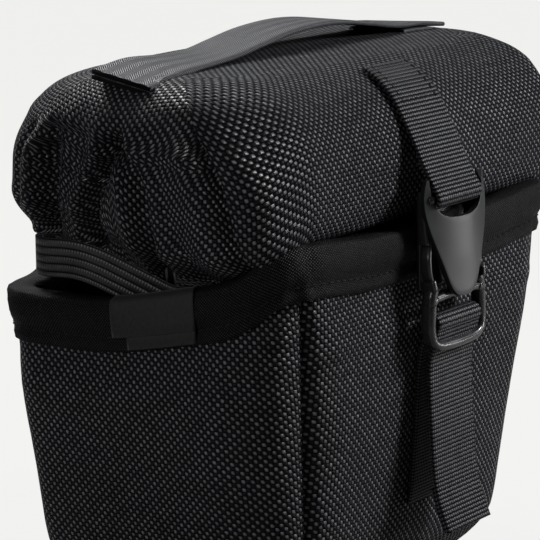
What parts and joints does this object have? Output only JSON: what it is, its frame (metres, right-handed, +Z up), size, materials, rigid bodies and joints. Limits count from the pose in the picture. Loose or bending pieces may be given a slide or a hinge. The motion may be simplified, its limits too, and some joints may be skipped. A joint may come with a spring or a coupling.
{
  "type": "padded camera pouch",
  "caption": "Small padded box-shaped pouch with a hinged elastic-ended lid, top carry handle and a front webbing strap with a side-release buckle.",
  "frame": {"origin": "centre of the base, on the surface the pouch stands on", "axes": "+Z up, X along the long front panel, -Y faces out of the front panel with the buckle"},
  "size_m": [0.178, 0.1339, 0.1845],
  "materials": {
    "ballistic_cover": "woven ballistic nylon, 2x2 basket weave, slight sheen",
    "foam": "closed-cell foam sheet, hidden between cover and lining",
    "lining": "smooth nylon lining, dark grey",
    "binding_tape": "fine ribbed grosgrain binding tape",
    "elastic": "ribbed woven elastic",
    "label_tape": "blank woven damask label, charcoal",
    "webbing": "flat ribbed nylon webbing, black",
    "handle_webbing": "herringbone nylon webbing, black",
    "buckle_satin": "satin moulded acetal, dark grey",
    "buckle_gloss": "glossy moulded acetal, black"
  },
  "bodies": {
    "pouch": {"front_cover": "ballistic_cover", "front_foam": "foam", "front_lining": "lining", "front_binding": "binding_tape", "back_cover": "ballistic_cover", "back_foam": "foam", "back_lining": "lining", "back_binding": "binding_tape", "left_cover": "ballistic_cover", "left_foam": "foam", "left_lining": "lining", "left_binding": "binding_tape", "right_cover": "ballistic_cover", "right_foam": "foam", "right_lining": "lining", "right_binding": "binding_tape", "base_cover": "ballistic_cover", "base_foam": "foam", "base_lining": "lining", "label": "label_tape", "hinge_strip": "ballistic_cover", "lower_strap": "webbing"},
    "lid": {"lid_cover": "ballistic_cover", "lid_foam": "foam", "lid_lining": "lining", "lid_elastic_left": "elastic", "lid_elastic_right": "elastic", "lid_hinge_flap": "ballistic_cover", "carry_handle": "handle_webbing", "handle_anchor_left": "handle_webbing", "handle_anchor_right": "handle_webbing", "upper_strap": "webbing", "upper_strap_loop": "webbing", "buckle_female": "buckle_satin"},
    "buckle_male": {"buckle_male_frame": "buckle_satin", "strap_bar_loop": "webbing", "strap_tail": "webbing"},
    "arm_left": {"buckle_arm_left": "buckle_gloss"},
    "arm_right": {"buckle_arm_right": "buckle_gloss"}
  },
  "joints": [
    {"name": "lid_hinge", "type": "hinge", "parent": "pouch", "child": "lid", "pos_m": [0, 0.0584, 0.13], "axis": [-1, 0, 0], "range_deg": [0, 105]},
    {"name": "buckle_release", "type": "slide", "parent": "pouch", "child": "buckle_male", "axis": [0, 0, -1], "range_m": [0, 0.016], "deforming": ["lower_strap", "buckle_arm_left", "buckle_arm_right"]},
    {"name": "squeeze_left", "type": "hinge", "parent": "buckle_male", "child": "arm_left", "pos_m": [-0.0125, -0.0657, 0.0985], "axis": [0, 1, 0], "range_deg": [0, 7], "stiffness_Nm_per_rad": 0.2},
    {"name": "squeeze_right", "type": "hinge", "parent": "buckle_male", "child": "arm_right", "pos_m": [0.0125, -0.0657, 0.0985], "axis": [0, 1, 0], "range_deg": [-7, 0], "stiffness_Nm_per_rad": 0.2}
  ],
  "couplings": [
    {"joint": "squeeze_right", "follows": "squeeze_left", "ratio": -1}
  ]
}
